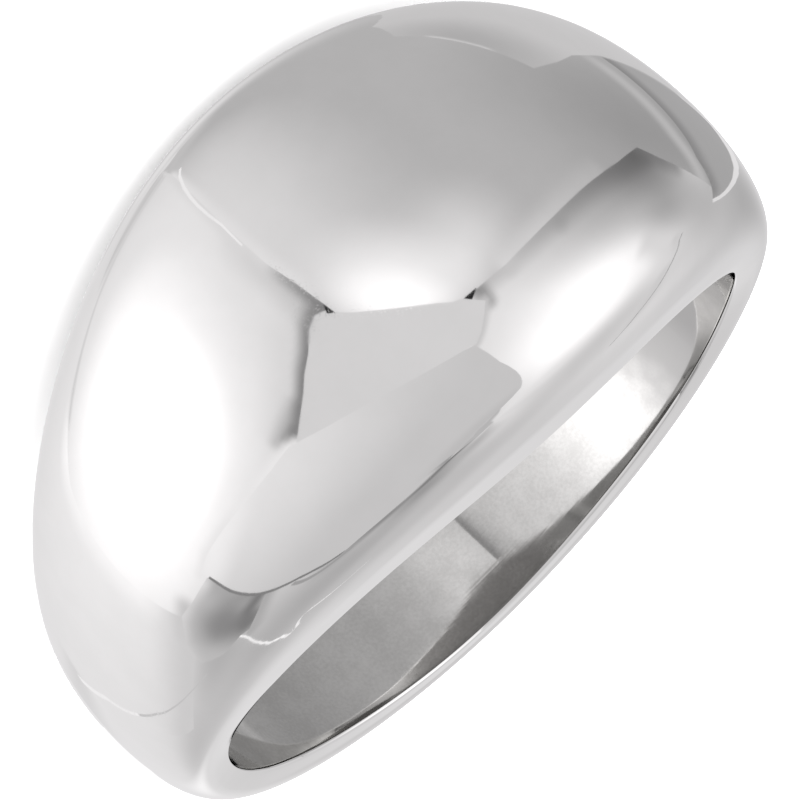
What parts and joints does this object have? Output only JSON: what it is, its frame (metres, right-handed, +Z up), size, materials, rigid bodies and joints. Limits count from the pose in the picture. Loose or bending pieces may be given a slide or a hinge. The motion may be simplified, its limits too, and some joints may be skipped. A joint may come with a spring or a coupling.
{
  "type": "dome ring",
  "caption": "Plain finger ring in polished white metal, with a high smooth dome that narrows through its shoulders into a slim shank.",
  "frame": {"origin": "on the surface that the ring lies on, under the middle of its outer box", "axes": "+Z up from the surface, +Y from the dome towards the shank, +X across the shoulders; the finger bore leans 11.85 degrees from +Z towards +Y"},
  "size_m": [0.021, 0.0238, 0.0114],
  "materials": {
    "white_metal": "mirror polished cast white metal"
  },
  "bodies": {
    "root": {"dome_band": "white_metal"}
  },
  "joints": []
}
